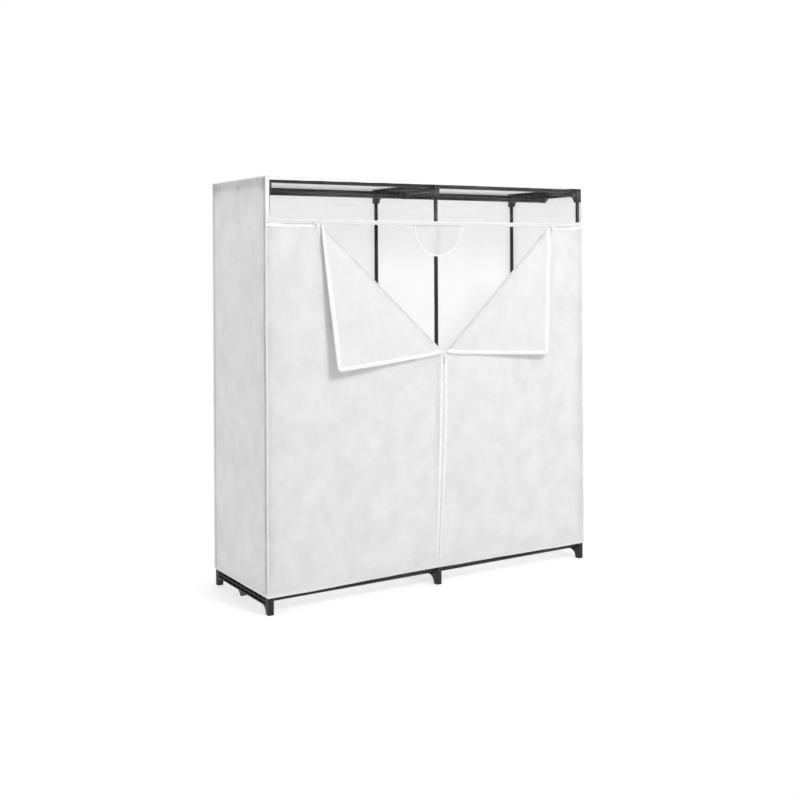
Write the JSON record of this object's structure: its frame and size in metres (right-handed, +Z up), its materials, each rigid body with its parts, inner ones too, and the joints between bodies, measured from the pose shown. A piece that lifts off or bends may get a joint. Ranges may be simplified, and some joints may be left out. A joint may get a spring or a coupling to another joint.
{
  "type": "portable fabric wardrobe",
  "caption": "Free-standing clothes wardrobe: steel tube frame in moulded brackets, white zip-up cloth cover with a clear window and turned-out door corners.",
  "frame": {"origin": "on the floor, under the middle of the whole wardrobe, its turned-out door corners included; the middle of the tube frame is 22 mm behind it", "axes": "+X to the right seen from the front, +Y from the front to the back, +Z up"},
  "size_m": [1.529, 0.5503, 1.6283],
  "materials": {
    "bracket_plastic": "moulded, fine texture",
    "tube_steel": "black powder coat, satin",
    "cover_cloth": "white non-woven, slightly translucent",
    "edge_binding": "white woven binding",
    "zip_tape": "white woven zip tape",
    "zip_enamel": "white enamel",
    "window_vinyl": "clear soft vinyl"
  },
  "bodies": {
    "frame_and_cover": {"left_lower_bracket": "bracket_plastic", "centre_lower_bracket": "bracket_plastic", "right_lower_bracket": "bracket_plastic", "left_upper_bracket": "bracket_plastic", "centre_upper_bracket": "bracket_plastic", "right_upper_bracket": "bracket_plastic", "left_front_lower_post": "tube_steel", "left_front_upper_post": "tube_steel", "left_back_lower_post": "tube_steel", "left_back_upper_post": "tube_steel", "centre_front_lower_post": "tube_steel", "centre_front_upper_post": "tube_steel", "centre_back_lower_post": "tube_steel", "centre_back_upper_post": "tube_steel", "right_front_lower_post": "tube_steel", "right_front_upper_post": "tube_steel", "right_back_lower_post": "tube_steel", "right_back_upper_post": "tube_steel", "left_front_top_rail": "tube_steel", "left_back_top_rail": "tube_steel", "right_front_top_rail": "tube_steel", "right_back_top_rail": "tube_steel", "left_front_bottom_rail": "tube_steel", "left_back_bottom_rail": "tube_steel", "right_front_bottom_rail": "tube_steel", "right_back_bottom_rail": "tube_steel", "left_hanging_rod": "tube_steel", "right_hanging_rod": "tube_steel", "top_panel": "cover_cloth", "back_panel": "cover_cloth", "left_side_panel": "cover_cloth", "right_side_panel": "cover_cloth", "left_door": "cover_cloth", "right_door": "cover_cloth", "zip_guard": "cover_cloth", "zip_guard_binding": "edge_binding", "window": "window_vinyl", "window_zip_binding": "zip_tape", "left_front_piping": "edge_binding", "left_back_piping": "edge_binding", "right_front_piping": "edge_binding", "right_back_piping": "edge_binding", "top_piping": "edge_binding", "bottom_hem": "edge_binding", "left_centre_zip": "zip_tape", "right_centre_zip": "zip_tape", "left_top_zip": "zip_tape", "right_top_zip": "zip_tape", "centre_zip_stop": "zip_enamel"},
    "left_corner": {"left_corner_flap": "cover_cloth", "left_corner_zip": "zip_tape"},
    "right_corner": {"right_corner_flap": "cover_cloth", "right_corner_zip": "zip_tape"},
    "centre_zip_slider": {"centre_slider": "zip_enamel"},
    "centre_zip_pull": {"centre_pull": "zip_enamel"},
    "left_zip_slider": {"left_slider": "zip_enamel"},
    "left_zip_pull": {"left_pull": "zip_enamel"},
    "right_zip_slider": {"right_slider": "zip_enamel"},
    "right_zip_pull": {"right_pull": "zip_enamel"}
  },
  "joints": [
    {"name": "left_corner_fold", "type": "hinge", "parent": "frame_and_cover", "child": "left_corner", "pos_m": [-0.54, -0.22815, 1.452], "axis": [-0.7382, 0, 0.6746], "range_deg": [0, 173]},
    {"name": "right_corner_fold", "type": "hinge", "parent": "frame_and_cover", "child": "right_corner", "pos_m": [0.577, -0.22815, 1.452], "axis": [-0.7254, 0, -0.6883], "range_deg": [0, 175]},
    {"name": "centre_zip_travel", "type": "slide", "parent": "frame_and_cover", "child": "centre_zip_slider", "axis": [0.0389, 0, 0.9992], "range_m": [-0.798, 0]},
    {"name": "centre_pull_lift", "type": "hinge", "parent": "centre_zip_slider", "child": "centre_zip_pull", "pos_m": [0.02846, -0.2349, 0.918], "axis": [-0.9992, 0, 0.0389], "range_deg": [0, 170]},
    {"name": "left_zip_travel", "type": "slide", "parent": "frame_and_cover", "child": "left_zip_slider", "axis": [1, 0, 0], "range_m": [-0.128, 0]},
    {"name": "left_pull_swing", "type": "hinge", "parent": "left_zip_slider", "child": "left_zip_pull", "pos_m": [-0.554, -0.2337, 1.452], "axis": [0, 1, 0], "range_deg": [-80, 80]},
    {"name": "right_zip_travel", "type": "slide", "parent": "frame_and_cover", "child": "right_zip_slider", "axis": [1, 0, 0], "range_m": [0, 0.09]},
    {"name": "right_pull_swing", "type": "hinge", "parent": "right_zip_slider", "child": "right_zip_pull", "pos_m": [0.591, -0.2337, 1.452], "axis": [0, 1, 0], "range_deg": [-80, 80]}
  ]
}
